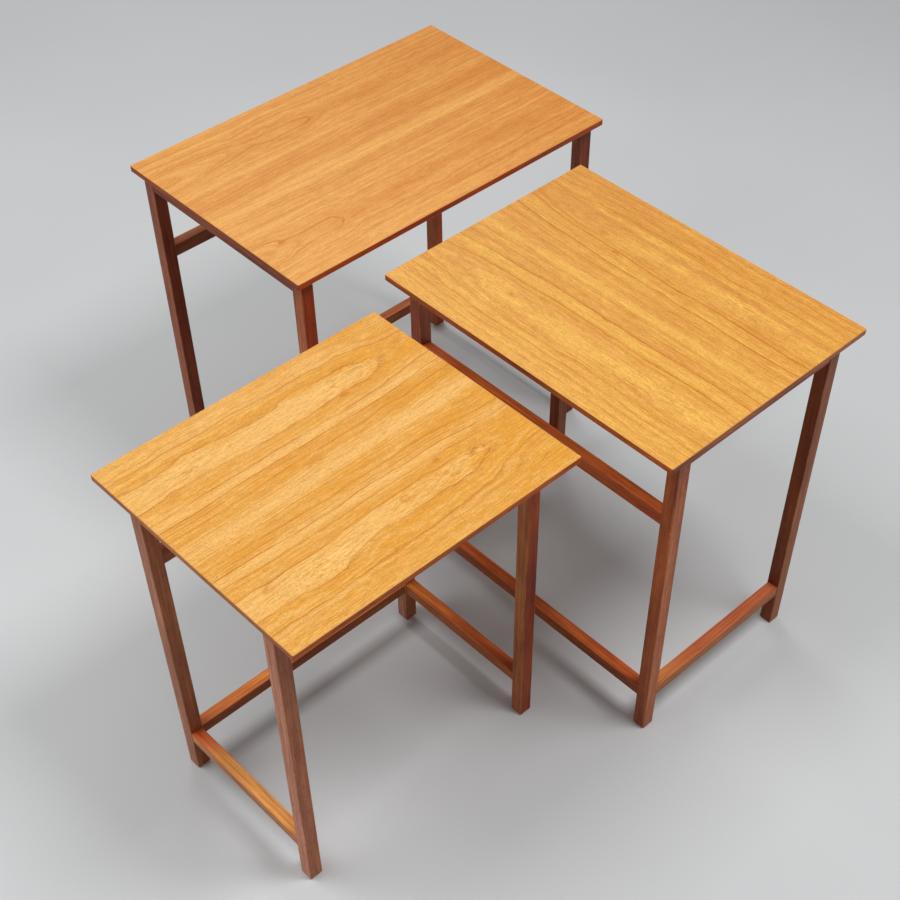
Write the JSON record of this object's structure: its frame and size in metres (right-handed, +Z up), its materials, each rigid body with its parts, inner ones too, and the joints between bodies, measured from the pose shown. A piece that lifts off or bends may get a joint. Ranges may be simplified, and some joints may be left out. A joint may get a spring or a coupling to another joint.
{
  "type": "nest of side tables",
  "caption": "Wooden nesting tables set out apart: flat veneered tops with dark lipping on slim square legs, with side aprons, back rails and low stretchers.",
  "frame": {"origin": "on the floor, at the centre of the ground that the three tables cover", "axes": "+Z up; +X along the length of the large and the small table; +Y towards the backs of the large and the small table; the middle table's back is towards -X"},
  "size_m": [0.9442, 0.9156, 0.566],
  "materials": {
    "large_veneer": "satin oiled cherry",
    "middle_veneer": "satin oiled cherry",
    "small_veneer": "satin oiled cherry",
    "backing": "plain sliced, unfinished",
    "core": "chipboard, hidden",
    "lipping": "satin oiled teak",
    "frame": "satin oiled teak",
    "dowel": "plain beech, hidden",
    "screw": "zinc plated"
  },
  "bodies": {
    "large_table": {"large_top_core": "core", "large_face_veneer": "large_veneer", "large_backing_veneer": "backing", "large_front_lipping": "lipping", "large_back_lipping": "lipping", "large_left_lipping": "lipping", "large_right_lipping": "lipping", "large_front_left_leg": "frame", "large_front_right_leg": "frame", "large_back_left_leg": "frame", "large_back_right_leg": "frame", "large_left_apron": "frame", "large_right_apron": "frame", "large_back_rail": "frame", "large_back_stretcher": "frame", "large_left_stretcher": "frame", "large_right_stretcher": "frame", "large_dowels": "dowel", "large_top_screws": "screw"},
    "middle_table": {"middle_top_core": "core", "middle_face_veneer": "middle_veneer", "middle_backing_veneer": "backing", "middle_front_lipping": "lipping", "middle_back_lipping": "lipping", "middle_left_lipping": "lipping", "middle_right_lipping": "lipping", "middle_front_left_leg": "frame", "middle_front_right_leg": "frame", "middle_back_left_leg": "frame", "middle_back_right_leg": "frame", "middle_left_apron": "frame", "middle_right_apron": "frame", "middle_back_rail": "frame", "middle_back_stretcher": "frame", "middle_left_stretcher": "frame", "middle_right_stretcher": "frame", "middle_dowels": "dowel", "middle_top_screws": "screw"},
    "small_table": {"small_top_core": "core", "small_face_veneer": "small_veneer", "small_backing_veneer": "backing", "small_front_lipping": "lipping", "small_back_lipping": "lipping", "small_left_lipping": "lipping", "small_right_lipping": "lipping", "small_front_left_leg": "frame", "small_front_right_leg": "frame", "small_back_left_leg": "frame", "small_back_right_leg": "frame", "small_left_apron": "frame", "small_right_apron": "frame", "small_back_rail": "frame", "small_back_stretcher": "frame", "small_left_stretcher": "frame", "small_right_stretcher": "frame", "small_dowels": "dowel", "small_top_screws": "screw"}
  },
  "joints": [
    {"name": "middle_table_slide", "type": "slide", "parent": "large_table", "child": "middle_table", "axis": [1, 0, 0], "range_m": [-0.04, 0.371]},
    {"name": "small_table_slide", "type": "slide", "parent": "large_table", "child": "small_table", "axis": [0, -1, 0], "range_m": [-0.07, 0.371]}
  ]
}
